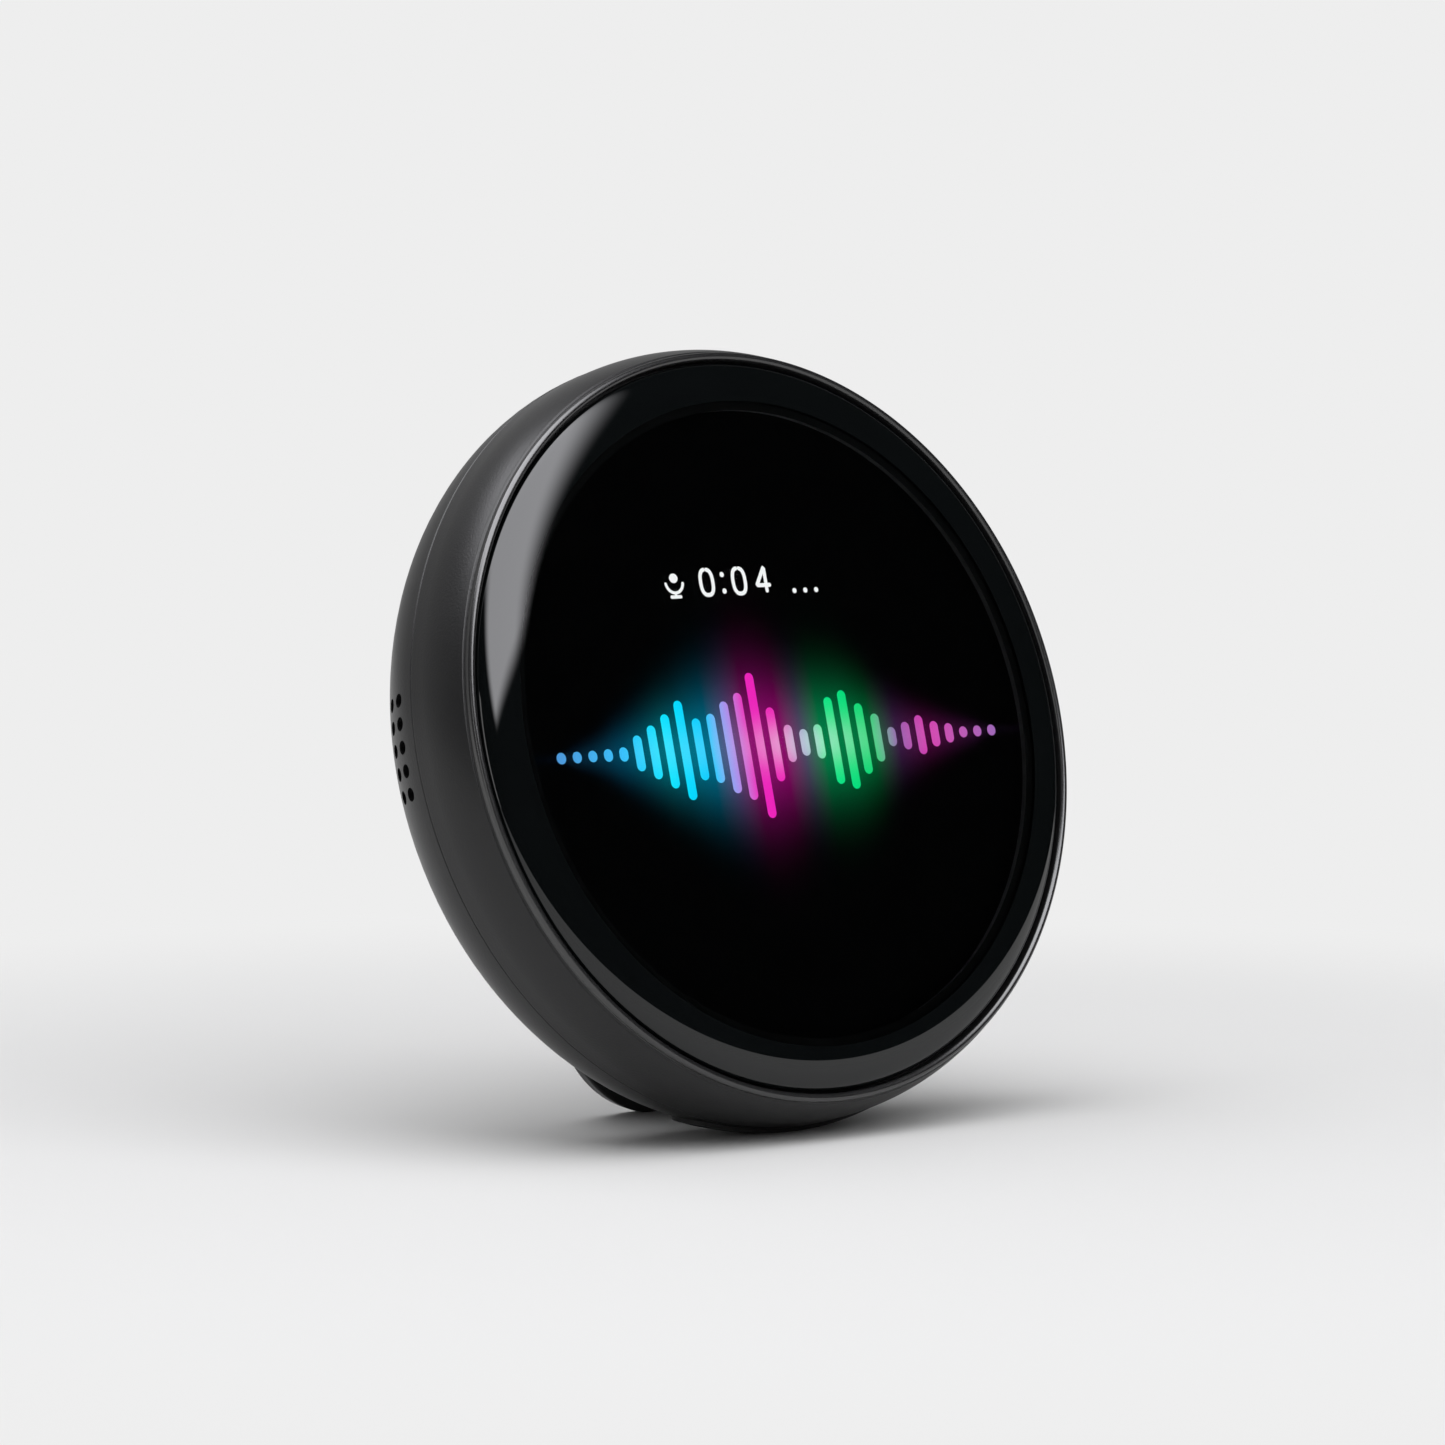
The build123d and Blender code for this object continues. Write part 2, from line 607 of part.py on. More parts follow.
def make_speaker_frame():
    frame = stadium(SPEAKER_LONG, SPEAKER_SHORT, 0, 4.0)
    frame -= stadium(SPEAKER_LONG - 2.8, SPEAKER_SHORT - 2.8, -1, 3.2)
    return frame - stadium(16.4, 7.4, 3, 5)


def make_speaker_magnet():
    """Steel cup with a centre pole, leaving a ring-shaped gap for the voice coil."""
    cup = stadium(18.0, 9.0, 4.0, 7.5)
    cup -= stadium(15.4, 6.4, 3.5, 6.5)
    return cup + stadium(12.4, 3.4, 3.6, 6.6)


def make_speaker_cone():
    """Shallow diaphragm with its voice coil behind it."""
    cone = stadium(CONE_LONG, CONE_SHORT, 0.9, 1.4)
    coil = stadium(14.6, 5.6, 1.3, 5.2) - stadium(13.4, 4.4, 1.0, 6.0)
    return cone + coil


def make_speaker_surround():
    """Rubber ring between the diaphragm and the frame's wall."""
    surround = stadium(SPEAKER_LONG - 2.8, SPEAKER_SHORT - 2.8, 0.7, 1.1)
    return surround - stadium(CONE_LONG, CONE_SHORT, 0, 2)


DUCT_Y = (-11.5, 16.5)
DUCT_Z = (-23.4, -14.4)
FLARE_X = -51.0
FLARE_Y = (-13.2, 18.2)
FLARE_Z = (-26.4, -9.6)
MESH_THICK = 0.25


def make_sound_duct():
    """Box-shaped horn: wide at the speaker, narrow where it meets the grille's wall."""
    y0, y1 = DUCT_Y
    z0, z1 = DUCT_Z
    outer_end = -BODY_R
    duct = block(outer_end, FLARE_X, y0, y1, z0, z1)
    duct += block(FLARE_X - 1, SPEAKER_FACE_X, *FLARE_Y, *FLARE_Z)
    duct -= block(outer_end, FLARE_X, y0 + 1, y1 - 1, z0 + 1, z1 - 1)
    flare_y = (FLARE_Y[0] + 1, FLARE_Y[1] - 1)
    flare_z = (FLARE_Z[0] + 1, FLARE_Z[1] - 1)
    duct -= block(FLARE_X, SPEAKER_FACE_X, *flare_y, *flare_z)
    behind_spigot = disc(BODY_R, BACK_Z, SPIGOT_END_Z - 0.2) & rear_solid(WALL + MESH_THICK + 0.05)
    room = behind_spigot + disc(RING_INNER_R - 0.2, SPIGOT_END_Z - 0.2, LEDGE_BACK_Z)
    return duct & room


def make_grille_mesh():
    """Fine acoustic mesh bonded inside the wall, behind the holes."""
    skin = rear_solid(WALL + 0.02) - rear_solid(WALL + MESH_THICK)
    return skin & block(-BODY_R, -50, *DUCT_Y, *DUCT_Z)


def mirrored(shape):
    return mirror(shape, Plane.YZ)


# --- battery, power inlet and leads ---------------------------------------------------------------

BATTERY_FRONT_Z = -13.2
BATTERY_BACK_Z = -21.2


def make_battery():
    """Flat pouch cell with soft rounded edges."""
    cell = block(-22, 22, 14, 46, BATTERY_BACK_Z, BATTERY_FRONT_Z)
    return fillet(cell.edges(), 1.2)


def make_battery_cradle():
    """Plastic cradle glued to the back wall, which holds the cell up to the board."""
    cradle = block(-20, 20, 17, 43, BACK_Z + WALL, BATTERY_BACK_Z)
    cradle -= block(-17, 17, 20, 40, BACK_Z, BATTERY_BACK_Z + 1)
    return cradle & rear_solid(WALL + 0.02)


def make_power_board():
    board = chip(0, USB_Y, 26, 12, POWER_BOARD_Z, POWER_BOARD_Z + 1.0)
    for x in (-POWER_SCREW_X, POWER_SCREW_X):
        board -= disc(FRAME_SCREW_R, POWER_BOARD_Z - 1, POWER_BOARD_Z + 2, x, USB_Y)
    return board


def make_power_screws():
    """Two screws whose heads face the screen."""
    screws = []
    for x in (-POWER_SCREW_X, POWER_SCREW_X):
        shank = disc(FRAME_SCREW_R, POWER_BOARD_Z - 3.6, POWER_BOARD_Z + 1.0, x, USB_Y)
        screws.append(shank + disc(1.5, POWER_BOARD_Z + 1.0, POWER_BOARD_Z + 1.9, x, USB_Y))
    return group(screws)


def make_usb_socket():
    """Upright USB-C socket: a drawn steel shell with a tongue inside."""
    mouth_z = BACK_Z + 0.5
    depth = POWER_BOARD_Z - mouth_z
    outer = extrude(Pos(0, USB_Y, mouth_z) * SlotOverall(*USB_SIZE), depth)
    inner_size = (USB_SIZE[0] - 0.6, USB_SIZE[1] - 0.6)
    hollow = extrude(Pos(0, USB_Y, mouth_z) * SlotOverall(*inner_size), depth - 0.8)
    tongue = chip(0, USB_Y, 6.6, 0.7, mouth_z + 0.8, POWER_BOARD_Z - 0.5)
    return outer - hollow + tongue


def make_housing_screws():
    """Four long screws from the back, through the shell's towers into the middle frame."""
    return group(
        screw(x, y, SHELL_HEAD_Z, FRAME_BACK_Z - 1.5, SCREW_R, 2.0, 1.5) for x, y in TOWER_PLACES
    )


def lead(points, radii, diameter):
    """A round wire pair along straight runs joined by arcs."""
    path = FilletPolyline(*points, radius=radii)
    start = Plane(origin=path @ 0, z_dir=path % 0)
    return sweep(start * Circle(diameter / 2), path=path)


def ribbon(points, width, radius):
    """A flat ribbon, 0.2 mm thick, whose path lies in the YZ plane, centred on X = 0."""
    path = FilletPolyline(*[(y, z) for y, z in points], radius=radius)
    strip = Plane.YZ * trace(path, 0.2)
    return Pos(-width / 2, 0, 0) * extrude(strip, width)


def make_display_ribbon():
    """From the tray's lower edge, back through the middle frame, to the board's front."""
    z = TRAY_BACK_Z - 0.12
    socket_z = BOARD_FRONT_Z + 0.5
    return ribbon([(-46.6, z), (RIBBON_Y, z), (RIBBON_Y, socket_z), (-39.6, socket_z)], 16, 0.6)


def make_power_ribbon():
    """From the power board to the main board."""
    low = POWER_BOARD_Z + 1.12
    high = BOARD_BACK_Z - 0.6
    strip = ribbon([(1.0, low), (-15.0, low), (-15.0, high), (-12.05, high)], 8, 0.8)
    return Pos(-8, 0, 0) * strip


def make_button_ribbon():
    """From the button board down to the top of the main board."""
    board_back = BUTTON_BOARD - BOARD_THICK - 0.02
    start = button_plane.from_local_coords(Vector(0, 1.5, board_back))
    bend = button_plane.from_local_coords(Vector(0, 1.5, board_back - 2.0))
    high = BOARD_BACK_Z - 0.6
    strip = ribbon([(start.Y, start.Z), (bend.Y, bend.Z), (48.0, high), (39.55, high)], 6, 0.8)
    return Pos(8, 0, 0) * strip


def make_battery_lead():
    """From the cell's lower edge to its socket on the board's back."""
    points = [(5, 13.98, -17.2), (5, 11.5, -17.2), (0, 10, -15.4), (0, 10, -12.22)]
    return lead(points, 1.0, 1.4)


def make_speaker_lead():
    """From the left magnet's back to its socket on the board."""
    points = [(-39.05, -2, -18), (-35.5, -2.5, -18), (-28.5, -7.0, -11.8), (-22.05, -8, -11.4)]
    return lead(points, 1.5, 1.4)


def make_antenna():
    """Thin aerial strip bonded to the middle frame's back, above the board."""
    return chip(0, 50, 30, 6, FRAME_BACK_Z - 0.3, FRAME_BACK_Z)


def make_thermal_pad():
    low = BOARD_FRONT_Z + CAN_HEIGHT
    return chip(PROCESSOR[0], PROCESSOR[1], 18, 20, low, FRAME_BACK_Z)


os.makedirs("parts", exist_ok=True)
write("cover_glass", make_cover_glass())
write("glass_adhesive_ring", ring(GLASS_R - 0.1, GLASS_R - 1.6, LEDGE_Z, GLASS_BACK_Z))
write("display_gasket", ring(PANEL_R, PANEL_R - 0.8, PANEL_Z, GLASS_UNDER_Z))
write("display_panel", disc(PANEL_R, PANEL_BACK_Z, PANEL_Z))
write("backlight_tray", make_backlight_tray())
write("display_cushion", ring(45, 38, LEDGE_BACK_Z, TRAY_BACK_Z))
write("display_ribbon", make_display_ribbon())
write("front_ring", make_front_ring())
write("middle_frame", make_middle_frame())
write("middle_frame_screws", make_frame_screws())
write("main_board", make_main_board())
write("board_screws", make_board_screws())
write("board_chips", make_board_chips())
write("board_sockets", make_board_sockets())
write("processor_shield", shield_can(PROCESSOR[0], PROCESSOR[1], 22, 26, CAN_HEIGHT))
write("wireless_shield", shield_can(0, -20, 14, 12, CAN_HEIGHT - 0.6))
write("thermal_pad", make_thermal_pad())
write("antenna", make_antenna())
write("rear_shell", make_rear_shell())
write("lower_foot", make_lower_foot())
write("housing_screws", make_housing_screws())
write("stand_flap", make_stand())
write("stand_pad", make_stand_pad())
write("hinge_pin", make_hinge_pin())
write("hinge_washers", make_hinge_washers())
write("volume_down_button", make_button(-BUTTON_X))
write("mute_button", make_button(0))
write("volume_up_button", make_button(BUTTON_X))
write("button_board", make_button_board())
write("button_switches", make_button_switches())
write("button_ribbon", make_button_ribbon())
write("microphones", make_microphones())
write("microphone_boots", make_microphone_boots())
write("battery", make_battery())
write("battery_cradle", make_battery_cradle())
write("battery_lead", make_battery_lead())
write("power_board", make_power_board())
write("power_board_screws", make_power_screws())
write("power_ribbon", make_power_ribbon())
write("usb_socket", make_usb_socket())

speaker_pieces = {
    "frame": make_speaker_frame(),
    "magnet": make_speaker_magnet(),
    "cone": make_speaker_cone(),
    "surround": make_speaker_surround(),
    "lead": make_speaker_lead(),
}
for piece, shape in speaker_pieces.items():
    write(f"left_speaker_{piece}", shape)
    write(f"right_speaker_{piece}", mirrored(shape))
for piece, shape in {"sound_duct": make_sound_duct(), "grille_mesh": make_grille_mesh()}.items():
    write(f"left_{piece}", shape)
    write(f"right_{piece}", mirrored(shape))
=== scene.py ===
import json
import math

import bpy
import numpy as np
from mathutils import Matrix, Vector


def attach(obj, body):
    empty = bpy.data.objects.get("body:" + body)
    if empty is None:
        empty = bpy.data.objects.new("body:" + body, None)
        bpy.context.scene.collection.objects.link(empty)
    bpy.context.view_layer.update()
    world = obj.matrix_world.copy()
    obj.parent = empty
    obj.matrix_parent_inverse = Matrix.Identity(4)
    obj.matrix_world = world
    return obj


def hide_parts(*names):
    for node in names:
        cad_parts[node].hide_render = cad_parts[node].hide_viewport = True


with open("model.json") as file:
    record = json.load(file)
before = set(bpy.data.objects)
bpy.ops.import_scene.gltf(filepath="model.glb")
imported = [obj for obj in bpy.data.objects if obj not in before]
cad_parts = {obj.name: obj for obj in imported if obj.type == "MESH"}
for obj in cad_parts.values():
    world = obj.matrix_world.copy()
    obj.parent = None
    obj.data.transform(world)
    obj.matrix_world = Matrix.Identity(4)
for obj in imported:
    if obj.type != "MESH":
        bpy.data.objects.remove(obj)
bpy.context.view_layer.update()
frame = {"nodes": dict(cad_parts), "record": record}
nodes = frame["nodes"]

# --- front housing ring -----------------------------------------------------------------------
# The front of the housing is one moulded ring of black ABS with a spark-eroded skin. A thin
# half-round bead runs round the glass, and a ledge inside it carries the glass.

# The round body leans back on its foot and stand. Its disc axis and centre are found from
# the power inlet, which lies this far behind the gap round the glass and above its middle.
INLET_BEHIND = 0.029
INLET_UP = 0.005

inlet = next(m for m in frame["record"]["mounts"] if m["name"] == "power_inlet")
outward = -np.array(inlet["axis"])
across = np.array([1.0, 0.0, 0.0])
upward = np.cross(outward, across)
centre = np.array(inlet["pos_m"]) + INLET_BEHIND * outward - INLET_UP * upward
lean_angle = math.atan2(outward[2], -outward[1])


def stood(places):
    """Standing places of body-frame ones: centre + (x across + y upward + z outward) / 1000."""
    return centre + np.asarray(places, float) @ np.array([across, upward, outward]) / 1000


def made(name, places, faces, smooth_below=40):
    """A mesh object from body-frame places in millimetres, with its normals facing outwards."""
    mesh = bpy.data.meshes.new(name)
    mesh.from_pydata(stood(places).tolist(), [], faces)
    mesh.update()
    mesh.shade_smooth()
    mesh.set_sharp_from_angle(angle=math.radians(smooth_below))
    piece = bpy.data.objects.new(name, mesh)
    bpy.context.scene.collection.objects.link(piece)
    return piece


def turned(name, outline, count=288, smooth_below=40):
    """A closed ring or dish of revolution about the body's axis.

    Point j of the closed outline (r_j, z_j), taken clockwise, gives at step k the place
    (r_j cos t, r_j sin t, z_j) with t = 2 pi k / count. An outline that starts and ends near
    the axis leaves two round holes there, which flat caps close.
    """
    radius, height = np.array(outline, float).T
    turn = 2 * np.pi * np.arange(count)[:, None] / count
    places = np.stack(
        [radius * np.cos(turn), radius * np.sin(turn), height + 0 * turn], axis=-1
    )
    size = len(radius)
    dish = radius[0] < 5 and radius[-1] < 5
    k, j = np.meshgrid(np.arange(count), np.arange(size - dish), indexing="ij")
    k2 = (k + 1) % count
    j2 = (j + 1) % size
    quads = np.stack([k * size + j, k * size + j2, k2 * size + j2, k2 * size + j], axis=-1)
    faces = quads.reshape(-1, 4).tolist()
    if dish:
        first = np.arange(count) * size
        faces += [first.tolist(), (first[::-1] + size - 1).tolist()]
    return made(name, places.reshape(-1, 3), faces, smooth_below)


def arc(mid, reach, start, end, steps):
    """Points mid + (reach_r cos t, reach_z sin t), with t from start to end degrees."""
    t = np.radians(np.linspace(start, end, steps))
    places = np.stack([mid[0] + reach[0] * np.cos(t), mid[1] + reach[1] * np.sin(t)], axis=-1)
    return places.tolist()


def link(tree, source, target):
    """Joins an output socket to an input socket."""
    tree.links.new(source, target)


def node(tree, kind, inputs=(), **settings):
    """A shader node with its settings, and with plain values or links on the named inputs."""
    step = tree.nodes.new("ShaderNode" + kind)
    for key, value in settings.items():
        setattr(step, key, value)
    for key, value in dict(inputs).items():
        if isinstance(value, bpy.types.NodeSocket):
            link(tree, value, step.inputs[key])
        else:
            step.inputs[key].default_value = value
    return step


def painted(name, colour, roughness, **more):
    """A material of one Principled shader; further sockets are given by name."""
    finish = bpy.data.materials.new(name)
    finish.use_nodes = True
    tree = finish.node_tree
    shader = tree.nodes["Principled BSDF"]
    shader.inputs["Base Color"].default_value = (*colour, 1)
    shader.inputs["Roughness"].default_value = roughness
    for key, value in more.items():
        shader.inputs[key.replace("_", " ")].default_value = value
    return finish, tree, shader


def moulded(name, colour, roughness, grain=0.25, relief=0.02, **more):
    """Moulded plastic or rubber.

    Spark-eroded grain of the given size in millimetres and relief in millimetres, a roughness
    that wavers with a wider cloud, and a faint change of shade from flow in the mould.
    """
    finish, tree, shader = painted(name, colour, roughness, **more)
    place = node(tree, "TexCoord").outputs["Object"]
    cloud = node(tree, "TexNoise", {"Vector": place, "Scale": 90.0, "Detail": 3.0})
    fine = node(tree, "TexNoise", {"Vector": place, "Scale": 1000 / grain, "Detail": 2.0})
    spread = node(tree, "MapRange", {0: cloud.outputs[0], 3: 0.88, 4: 1.14}).outputs[0]
    shade = node(tree, "VectorMath", {0: colour, "Scale": spread}, operation="SCALE")
    link(tree, shade.outputs[0], shader.inputs["Base Color"])
    rough = node(
        tree, "MapRange", {0: cloud.outputs[0], 3: roughness * 0.93, 4: roughness * 1.09}
    )
    link(tree, rough.outputs[0], shader.inputs["Roughness"])
    skin = {"Strength": 0.6, "Distance": relief / 1000, "Height": fine.outputs[0]}
    bump = node(tree, "Bump", skin)
    link(tree, bump.outputs[0], shader.inputs["Normal"])
    return finish


LEDGE_R = 54.0
LEDGE_Z = -1.7
LEDGE_BACK_Z = -3.6
GAP_R = 59.8
BEAD_MIDDLE_R = 60.45
BEAD_OUTER_R = 61.1
WIDEST_R = 63.27
PARTING_Z = -12.0
SPIGOT_R = 61.2
SPIGOT_INNER_R = 60.2
SPIGOT_END_Z = -14.0
ring_outline = [
    (LEDGE_R, LEDGE_Z),
    (57.0, LEDGE_Z),
    (GAP_R - 0.08, LEDGE_Z),
    (GAP_R, LEDGE_Z + 0.08),
    (GAP_R, -0.9),
    (GAP_R, -0.3),
    *arc((BEAD_MIDDLE_R, 0.0), (0.647, 0.647), 180, 0, 25),
    (BEAD_OUTER_R, -0.3),
    *arc((61.55, -0.35), (0.45, 0.5), 180, 262, 9),
    *arc((43.8, -9.0), (19.47, 19.48), 24.2, 0, 40),
    (WIDEST_R, -10.2),
    (WIDEST_R, PARTING_Z + 0.4),
    *arc((WIDEST_R - 0.2, PARTING_Z + 0.2), (0.2, 0.2), 0, -90, 6),
    (SPIGOT_R, PARTING_Z),
    (SPIGOT_R, SPIGOT_END_Z),
    (SPIGOT_INNER_R, SPIGOT_END_Z),
    (SPIGOT_INNER_R, LEDGE_BACK_Z),
    (LEDGE_R, LEDGE_BACK_Z),
]
front_ring = turned("front_housing_ring", ring_outline, 384)
HOUSING_BLACK = (0.012, 0.012, 0.0125)
ring_plastic = moulded(
    "black_textured_ABS", HOUSING_BLACK, 0.34, 0.35, 0.045, Specular_IOR_Level=0.36
)
bead_plastic = moulded(
    "polished_bead_ABS", HOUSING_BLACK, 0.24, 0.30, 0.01, Specular_IOR_Level=0.9
)
front_ring.data.materials.append(ring_plastic)
front_ring.data.materials.append(bead_plastic)


def face_spots(piece):
    """Each face's distance from the body's axis and height along it, in millimetres."""
    middles = np.zeros(3 * len(piece.data.polygons))
    piece.data.polygons.foreach_get("center", middles)
    spot = (middles.reshape(-1, 3) - centre) * 1000
    return np.hypot(spot @ across, spot @ upward), spot @ outward


face_radius, face_height = face_spots(front_ring)
on_bead = (face_radius > GAP_R + 0.02) & (face_radius < BEAD_OUTER_R + 0.05)
on_bead &= face_height > -0.5
front_ring.data.polygons.foreach_set("material_index", on_bead.astype(np.int32))
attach(front_ring, "body")
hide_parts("front_ring")

# --- cover glass ------------------------------------------------------------------------------
# The touch glass is flat in the middle and slumped down at its edge to a short upright rim.
# Black ink is printed on its underside round the picture, and foam tape bonds it to the ledge.

GLASS_FRONT_Z = 2.4
GLASS_UNDER_Z = 0.8
INK_START = 52.6
glass_outline = [
    (1.0, GLASS_FRONT_Z),
    (15.0, GLASS_FRONT_Z),
    (30.0, GLASS_FRONT_Z),
    (44.0, GLASS_FRONT_Z),
    *arc((46.0, -0.4), (13.3, 2.8), 90, 0, 56),
    (59.3, -1.3),
    (59.2, -1.4),
    (57.7, -1.4),
    (55.5, -0.8),
    (52.4, GLASS_UNDER_Z),
    (30.0, GLASS_UNDER_Z),
    (1.0, GLASS_UNDER_Z),
]
cover_glass = turned("cover_glass_pane", glass_outline, 384, 20)
BORDER_BLACK = (0.0034, 0.0042, 0.0045)
glass_finish = painted(
    "polished_glass", (0.93, 0.95, 0.95), 0.01, Transmission_Weight=1.0, IOR=1.5
)[0]
backed_finish, tree, shader = painted(
    "glass_over_black_ink", BORDER_BLACK, 0.02, Specular_IOR_Level=0.5, IOR=1.5
)
place = node(tree, "TexCoord").outputs["Object"]
cloud = node(tree, "TexNoise", {"Vector": place, "Scale": 60.0, "Detail": 2.0})
tone = node(tree, "MapRange", {0: cloud.outputs[0], 3: 0.8, 4: 1.2}).outputs[0]
shade = node(tree, "VectorMath", {0: BORDER_BLACK, "Scale": tone}, operation="SCALE")
link(tree, shade.outputs[0], shader.inputs["Base Color"])
cover_glass.data.materials.append(glass_finish)
cover_glass.data.materials.append(backed_finish)
over_ink = face_spots(cover_glass)[0] > INK_START
cover_glass.data.polygons.foreach_set("material_index", over_ink.astype(np.int32))
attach(cover_glass, "body")
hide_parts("cover_glass")

ink_outline = [
    (51.1, 0.86),
    (52.4, 0.86),
    (55.5, -0.74),
    (57.68, -1.32),
    (59.0, -1.34),
    (59.0, -1.36),
    (57.68, -1.34),
    (55.5, -0.76),
    (52.4, 0.84),
    (51.1, 0.84),
]
ink_ring = turned("printed_border", ink_outline, 288, 20)
ink = moulded("black_screen_ink", BORDER_BLACK, 0.55, 2.0, 0.001, Specular_IOR_Level=0.1)
ink_ring.data.materials.append(ink)
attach(ink_ring, "body")


def dress(finish, *names):
    """Gives carried-over parts their finish."""
    for name in names:
        mesh = nodes[name].data
        if not mesh.materials:
            mesh.materials.append(finish)
        for slot in nodes[name].material_slots:
            slot.material = finish


dress(moulded("black_foam_tape", (0.018, 0.018, 0.018), 0.9, 0.18, 0.06), "glass_adhesive_ring")

# --- display ----------------------------------------------------------------------------------
# A round 4 inch panel lies 1.2 mm under the glass on a foam gasket, with its backlight tray,
# a cushion ring and its ribbon behind. It shows a timer row and a row of coloured level bars.

PANEL_FRONT = -0.4
STRIP_THICKNESS = 0.02
LEVEL_Y = -3.4
LEVEL_PITCH = 3.1
LEVEL_WIDTH = 1.75
LEVEL_COUNT = 30
ROW_HALF = 47.0


def strips(name, paths, widths):
    """Thin raised strips on the panel's face, with round ends.

    Each strip is a flat four-sided section carried along its path: at arc length s its half
    width is h(s) = sqrt(w^2 - d^2), where d is how far s lies inside w of an end, else w.
    """
    all_places = []
    faces = []
    for path, width in zip(paths, widths):
        half = width / 2
        path = np.asarray(path, float)
        run = np.r_[0, np.cumsum(np.hypot(*np.diff(path, axis=0).T))]
        ends = half * (1 - np.cos(np.linspace(0.12, np.pi / 2, 9)))
        middle = np.linspace(half, run[-1] - half, max(2, len(path)))
        s = np.r_[ends[:-1], middle, run[-1] - ends[:-1][::-1]]
        x, y = np.interp(s, run, path[:, 0]), np.interp(s, run, path[:, 1])
        tangent = np.stack([np.gradient(x, s), np.gradient(y, s)], -1)
        tangent /= np.linalg.norm(tangent, axis=1)[:, None]
        inside = np.clip(half - np.minimum(s, run[-1] - s), 0, half)
        reach = np.sqrt(np.maximum(half**2 - inside**2, 1e-6))
        side = np.stack([-tangent[:, 1], tangent[:, 0]], -1) * reach[:, None]
        middle_line = np.stack([x, y], -1)
        left, right = middle_line + side, middle_line - side
        low = np.full(len(s), PANEL_FRONT)
        high = low + STRIP_THICKNESS
        loop = [(left, low), (right, low), (right, high), (left, high)]
        places = np.stack([np.column_stack([p, z]) for p, z in loop], axis=1)
        base = sum(len(p) for p in all_places)
        all_places.append(places.reshape(-1, 3))
        k, j = np.meshgrid(np.arange(len(s) - 1), np.arange(4), indexing="ij")
        j2 = (j + 1) % 4
        quads = np.stack([4 * k + j, 4 * k + 4 + j, 4 * k + 4 + j2, 4 * k + j2], -1) + base
        faces += quads.reshape(-1, 4).tolist()
        last = base + 4 * (len(s) - 1)
        faces += [[base, base + 1, base + 2, base + 3], [last + 3, last + 2, last + 1, last]]
    return made(name, np.concatenate(all_places), faces, 30)


def ramp(tree, factor, stops, smooth=True):
    """A colour ramp through (position, colour) stops, eased where smooth."""
    ramp_node = node(tree, "ValToRGB", {0: factor})
    band = ramp_node.color_ramp
    band.interpolation = "B_SPLINE" if smooth else "LINEAR"
    while len(band.elements) < len(stops):
        band.elements.new(0.5)
    for element, (position, colour) in zip(band.elements, stops):
        element.position = position
        element.color = (*colour, 1)
    return ramp_node.outputs[0]


def screen_place(tree):
    """The body-frame x and y in millimetres of a place on the panel."""
    place = node(tree, "TexCoord").outputs["Object"]
    mapping = node(
        tree,
        "Mapping",
        {
            "Vector": place,
            "Location": centre.tolist(),
            "Rotation": (math.pi / 2 - lean_angle, 0, 0),
            "Scale": (0.001, 0.001, 0.001),
        },
        vector_type="TEXTURE",
    )
    parts = node(tree, "SeparateXYZ", {0: mapping.outputs[0]}).outputs
    return parts[0], parts[1]


def level_colours(tree, x, gain=1.0):
    """Blue, cyan, magenta, green and pink along the row."""
    position = node(tree, "MapRange", {0: x, 1: -ROW_HALF, 2: ROW_HALF}).outputs[0]
    stops = [
        (0.0, (0.04, 0.25, 0.65)),
        (0.15, (0.0, 0.50, 0.95)),
        (0.24, (0.0, 0.78, 1.0)),
        (0.34, (0.0, 0.60, 1.0)),
        (0.385, (0.38, 0.30, 0.85)),
        (0.43, (0.85, 0.02, 0.50)),
        (0.50, (0.88, 0.01, 0.48)),
        (0.545, (0.30, 0.25, 0.50)),
        (0.59, (0.0, 0.78, 0.24)),
        (0.70, (0.0, 0.66, 0.17)),
        (0.76, (0.30, 0.08, 0.40)),
        (0.83, (0.68, 0.02, 0.42)),
        (1.0, (0.30, 0.10, 0.45)),
    ]
    stops = [(p, tuple(gain * c for c in colour)) for p, colour in stops]
    return ramp(tree, position, stops, smooth=False)


def math_node(tree, operation, first, second=None):
    """The result of one sum on one or two values."""
    inputs = {0: first} if second is None else {0: first, 1: second}
    return node(tree, "Math", inputs, operation=operation).outputs[0]


def bell(tree, distance, width):
    """exp(-(distance / width)^2)."""
    ratio = math_node(tree, "DIVIDE", distance, width)
    square = math_node(tree, "MULTIPLY", ratio, ratio)
    return math_node(tree, "EXPONENT", math_node(tree, "MULTIPLY", square, -1.0))


level_x = LEVEL_PITCH * (np.arange(LEVEL_COUNT) - (LEVEL_COUNT - 1) / 2)
level_half = (
    0.9
    + 7.2 * np.exp(-(((level_x + 21) / 7.5) ** 2))
    + 11.4 * np.exp(-(((level_x + 6) / 6.2) ** 2))
    + 8.6 * np.exp(-(((level_x - 14) / 6.0) ** 2))
    + 2.6 * np.exp(-(((level_x - 30) / 5.0) ** 2))
)
level_half *= 0.86 + 0.14 * np.cos(np.arange(LEVEL_COUNT) * 2.4)
level_paths = [
    np.stack([np.full(16, x), LEVEL_Y + np.linspace(-h, h, 16)], -1)
    for x, h in zip(level_x, np.maximum(level_half, LEVEL_WIDTH * 0.52))
]
level_bars = strips("level_bars", level_paths, [LEVEL_WIDTH] * LEVEL_COUNT)
UNLIT = (0.0, 0.0, 0.0)
bars_light, tree, shader = painted("lit_level_bars", UNLIT, 0.4, Emission_Strength=1.0)
x, y = screen_place(tree)
across_row = bell(tree, math_node(tree, "SUBTRACT", y, LEVEL_Y), 3.33)
along_row = bell(tree, math_node(tree, "SUBTRACT", x, 5.0), 9.13)
core = math_node(tree, "ADD", math_node(tree, "MULTIPLY", along_row, 0.42), 0.06)
whiteness = math_node(tree, "MULTIPLY", across_row, core)
